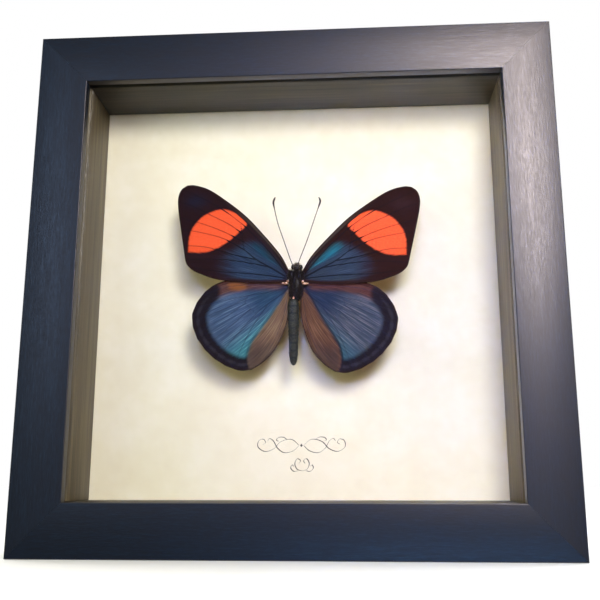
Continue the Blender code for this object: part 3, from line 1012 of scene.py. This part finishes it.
def hairs_on_egg(rng, egg, count, length, lean):
    """Matrices for hairs that grow out of an egg and lean one way."""
    centre, size, _ = egg
    matrices = []
    while len(matrices) < count:
        way = Vector((rng.gauss(0, 1), rng.gauss(0, 1), rng.gauss(0, 1))).normalized()
        if way.y >= HAIR_LIMIT:
            continue
        place = Vector(centre) + Vector(c * w for c, w in zip(size, way))
        out = Vector(w / c for c, w in zip(size, way)).normalized()
        grow = (out + Vector(lean) * rng.uniform(0.7, 1.3)).normalized()
        matrices.append(PLACE @ hair_matrix(rng, place, grow, 0.6, 1.2, length))
    return matrices


def make_fur(name, matrices, material, thickness=HAIR_THICKNESS):
    """A coat of hair, joined in one mesh."""
    mesh = joined_copies(name, hair_shape(thickness), matrices)
    piece(name, mesh, [material])


def make_body():
    """The thorax and the head with their fur, the eyes, the palps and the wing joints."""
    rng = random.Random(SEED)
    chitin = dark_chitin()
    shoulders = pair(1.35, -0.9, 1.6, (0.85, 0.95, 1.9))
    insect_piece("thorax_shell", eggs([THORAX, *shoulders]), chitin, ["thorax"])
    fur = hairs_on_egg(rng, THORAX, 2800, 0.8, (0, -0.1, -0.9))
    for way, shoulder in zip((-1, 1), shoulders):
        fur += hairs_on_egg(rng, shoulder, 500, 1.0, (way * 0.5, -0.1, -0.6))
    make_fur("thorax_fur", fur, insect_hair("black_brown_hair", "#120D0C", "#302421"))

    insect_piece("head_shell", eggs([HEAD]), chitin, ["head"])
    fur = hairs_on_egg(rng, HEAD, 700, 0.5, (0, -0.2, 0.5))
    for furred_palp in pair(0.36, -0.4, 5.6, (0.28, 0.3, 0.5), middle=HEAD_X):
        fur += hairs_on_egg(rng, furred_palp, 220, 0.35, (0, -0.1, 0.9))
    make_fur("head_fur", fur, insect_hair("olive_brown_hair", "#3A3022", "#8A7858"))

    eyes = pair(1.2, -0.3, 4.75, (0.7, 0.9, 0.9), 4, HEAD_X)
    insect_piece("eyes", eggs(eyes), compound_eye())
    palps = pair(0.36, -0.4, 5.5, (0.25, 0.28, 0.5), middle=HEAD_X)
    insect_piece("palps", eggs(palps), chitin)
    plates = [
        *pair(3.0, -1.5, -0.9, (0.75, 0.4, 0.42)),
        *pair(3.9, -1.2, -0.75, (0.45, 0.3, 0.3)),
        *pair(2.4, -1.5, -0.2, (0.4, 0.35, 0.5)),
        ((-0.35, -1.75, -5.6), (0.36, 0.26, 0.4), 3),
    ]
    insect_piece("wing_joint_plates", eggs(plates), amber_chitin_painted_highlight())


def make_abdomen():
    """Nine rings, each tucked under the next, and a blunt tip."""
    rings, steps, length, top, widest, blunt_from = 9, 9, 21.2, -5.7, 1.85, 0.80
    count = rings * steps
    profile, groove = [], []
    for k in range(count + 1):
        share = k / count
        wave = share * rings % 1.0
        body = widest * (0.75 + 0.25 * blend(0, 0.1, share))
        body *= 1 - 0.24 * blend(0.1, 0.85, share)
        tip = max(0.0, (share - blunt_from) / (1 - blunt_from))
        body *= math.sqrt(max(1 - tip ** 1.9, 0.0004))
        tuck = 0.075 * (1 - blend(0.0, 0.22, wave)) + 0.03 * wave
        profile.append((max(body * (1 - tuck), 0.02), top - share * length))
        groove.append(float(blend(0.28, 0.02, wave)))
    shape = bmesh.new()
    layer = shape.verts.layers.float.new("groove")
    spine = [shape.verts.new((radius, 0, height)) for radius, height in profile]
    for vert, value in zip(spine, groove):
        vert[layer] = value
    edges = [shape.edges.new(ends) for ends in zip(spine, spine[1:])]
    bmesh.ops.spin(
        shape, geom=spine + edges, cent=(0, 0, 0), axis=(0, 0, 1), dvec=(0, 0, 0), angle=math.tau,
        steps=36, use_merge=True, use_duplicate=False,
    )
    bmesh.ops.remove_doubles(shape, verts=shape.verts, dist=1e-5)
    rims = [edge for edge in shape.edges if edge.is_boundary]
    bmesh.ops.holes_fill(shape, edges=rims)
    bmesh.ops.recalc_face_normals(shape, faces=shape.faces)
    lean = Matrix.Translation((-0.75, 0, 0)) @ Matrix.Rotation(math.radians(-2.0), 4, "Y")
    place = PLACE @ lean
    insect_piece("ringed_abdomen", shape, abdomen_scales(), ["abdomen"], place=place)

    rng = random.Random(SEED + 1)
    radii = [radius for radius, _ in profile]
    stations = np.linspace(0, 1, count + 1)
    fur = []
    for _ in range(1500):
        share = rng.uniform(0.01, 0.98)
        angle = rng.uniform(0, math.tau)
        radius = np.interp(share, stations, radii)
        out = Vector((math.cos(angle), math.sin(angle), 0))
        root = out * (radius - 0.02) + Vector((0, 0, top - share * length))
        grow = (out * 0.45 + Vector((0, 0, -1))).normalized()
        fur.append(place @ hair_matrix(rng, root, grow, 0.3, 0.55))
    make_fur("abdomen_fur", fur, insect_hair("slate_hair", "#1B1A18", "#42423A"), 0.05)


def make_antennae():
    """Thin ringed threads that thicken to a club and hook inwards at the tip."""
    horn = insect_hair("dark_brown_horn", "#231A16", "#453630")
    routes = {
        "left": ((-0.7, 5), (-1.6, 6.6), (-4, 13), (-6.2, 19), (-7.7, 24.8), (-7.9, 26.4),
                 (-7.4, 27.9)),
        "right": ((0.8, 5), (1.1, 7), (3.4, 13.6), (5.4, 20.2), (6.8, 24.8), (7.3, 26.7),
                  (6.8, 28)),
    }
    count = 70
    for side, route in routes.items():
        line = curve(route, count)
        share = np.linspace(0, 1, count)
        swell = 0.13 + 0.20 * blend(0.80, 0.93, share) - 0.16 * blend(0.96, 1.0, share)
        ringed = swell * (1 + 0.08 * np.where(np.arange(count) % 2, 1, -1))
        shape = bmesh.new()
        tube(shape, [(x, -0.9 - 0.6 * s, z) for (x, z), s in zip(line, share)], ringed, 8)
        insect_piece("ringed_antenna_" + side, shape, horn, ["antenna_" + side])


def make_post():
    """The foam post that the thorax stands on."""
    finish_node("mounting_post", white_foam())


# ---- camera, floor and light


def make_camera():
    """From a little below the frame's middle and to its right, looking up at it."""
    camera = placed("camera", bpy.data.cameras.new("camera"))
    bpy.context.scene.camera = camera
    side, distance, height = 18.13 * MM, 235.44 * MM, 22.5 * MM
    azimuth, elevation = -0.0646, 0.2191
    camera.location = (MIDDLE.x + side, FRONT_Y - distance, height)
    level = math.cos(elevation)
    ahead = Vector((math.sin(azimuth) * level, math.cos(azimuth) * level, math.sin(elevation)))
    camera.rotation_euler = ahead.to_track_quat("-Z", "Y").to_euler()
    camera.data.sensor_width = 36.0
    camera.data.lens = 48.33
    camera.data.clip_start = 0.01


def make_floor():
    """Backdrop paper under the frame, which it neither lights nor shades."""
    shape = bmesh.new()
    bmesh.ops.create_grid(shape, x_segments=4, y_segments=4, size=2.0)
    floor = placed("floor", mesh_of("floor", shape))
    floor.data.materials.append(studio_floor())
    hide(floor, "shadow", "diffuse", "glossy")


# Soft boxes for matt surfaces, and soft boxes seen in gloss: azimuth and elevation in degrees,
# distance and size in metres, watts, colour; for a narrow one also where it aims, in millimetres
# right of and above the frame's middle, and its spread in degrees
MATT_LAMPS = {
    "key_window": (16, 21.5, 0.5, (0.13, 0.13), 1.96, "#E4EEFF"),
    "side_window": (22, 14, 0.45, (0.14, 0.14), 0.37, "#E7E5FF"),
    "wide_window": (6, 14, 0.5, (0.2, 0.2), 0.94, "#FFFCD6"),
    "cool_window": (0, 8, 0.45, (0.06, 0.06), 0.085, "#8EB0FF", (36, 18), 27),
    "cool_corner": (0, 8, 0.45, (0.06, 0.06), 0.019, "#3050FF", (40, -14), 26),
    "edge_light": (-8, 6, 0.45, (0.06, 0.06), 0.034, "#FFF8EC", (66, 10), 30),
    "left_fill": (-35, 0, 0.6, (0.3, 0.3), 0.62, "#EDFFD2"),
    "left_skim": (-72, 10, 0.5, (0.3, 0.2), 0.85, "#FFE2A0"),
    "right_skim": (60, 10, 0.5, (0.3, 0.2), 0.39, "#FFE9B9"),
}
GLOSS_LAMPS = {
    "right_sheen": (23, 21.5, 0.6, (0.07, 0.16), 3.2, "#FFFBF8"),
    "upper_sheen": (22, 39, 0.6, (0.14, 0.11), 1.3, "#FFF8F2"),
    "left_sheen": (-32, 15, 0.6, (0.12, 0.26), 0.45, "#B0D2FF"),
    "low_sheen": (12, -27, 0.6, (0.26, 0.06), 0.42, "#84BCFF"),
}


def soft_box(name, gloss, azimuth, elevation, distance, size, watts, colour, aim=(0, 0),
             spread=180):
    """A soft box that works either on matt surfaces or in gloss, so that brightness and sheen can
    each be set."""
    lamp = bpy.data.lights.new(name, "AREA")
    lamp.shape = "RECTANGLE"
    lamp.size, lamp.size_y = size
    lamp.energy = watts
    lamp.color = linear(colour)[:3]
    lamp.spread = math.radians(spread)
    thing = placed(name, lamp)
    turn, rise = math.radians(azimuth), math.radians(elevation)
    level = math.cos(rise)
    away = Vector((math.sin(turn) * level, -math.cos(turn) * level, math.sin(rise)))
    thing.location = MIDDLE + away * distance
    target = MIDDLE + Vector((aim[0], 0, aim[1])) * MM
    thing.rotation_euler = (thing.location - target).to_track_quat("Z", "Y").to_euler()
    hide(thing, "camera", "transmission", "diffuse" if gloss else "glossy")


def make_light():
    """The soft boxes, in a room that is plain white to the eye. What the frame reflects of it is
    bright at the sides and darker before and behind."""
    scene = bpy.context.scene
    scene.view_settings.view_transform = "Standard"
    for gloss, lamps in ((False, MATT_LAMPS), (True, GLOSS_LAMPS)):
        for name, row in lamps.items():
            soft_box(name, gloss, *row)
    world = bpy.data.worlds.new("white_room")
    scene.world = world
    world.use_nodes = True
    tree = world.node_tree
    tree.nodes.clear()
    way = add(tree, "SeparateXYZ", {"Vector": add(tree, "TexCoord").outputs["Generated"]})
    depth = add(tree, "MapRange", {"Value": way.outputs["Y"], "From Min": -0.15, "From Max": 1.0})
    walls = add(tree, "ValToRGB", {"Fac": depth}, {
        0.0: "#141517", 0.43: "#FFFFFF", 0.7: "#A9ACB0", 1.0: "#808386",
    })
    room = add(tree, "Background", {"Color": walls, "Strength": 3.4})
    backdrop = add(tree, "Background", {"Color": linear("#FFFFFF"), "Strength": 1.0})
    seen = add(tree, "LightPath").outputs["Is Camera Ray"]
    both = add(tree, "MixShader", {0: seen, 1: room, 2: backdrop})
    add(tree, "OutputWorld", {"Surface": both})


make_camera()
make_rails()
make_spacers()
make_pane_and_sheets()
make_hardware()
make_ornament()
make_wings()
make_body()
make_abdomen()
make_antennae()
make_post()
make_floor()
make_light()
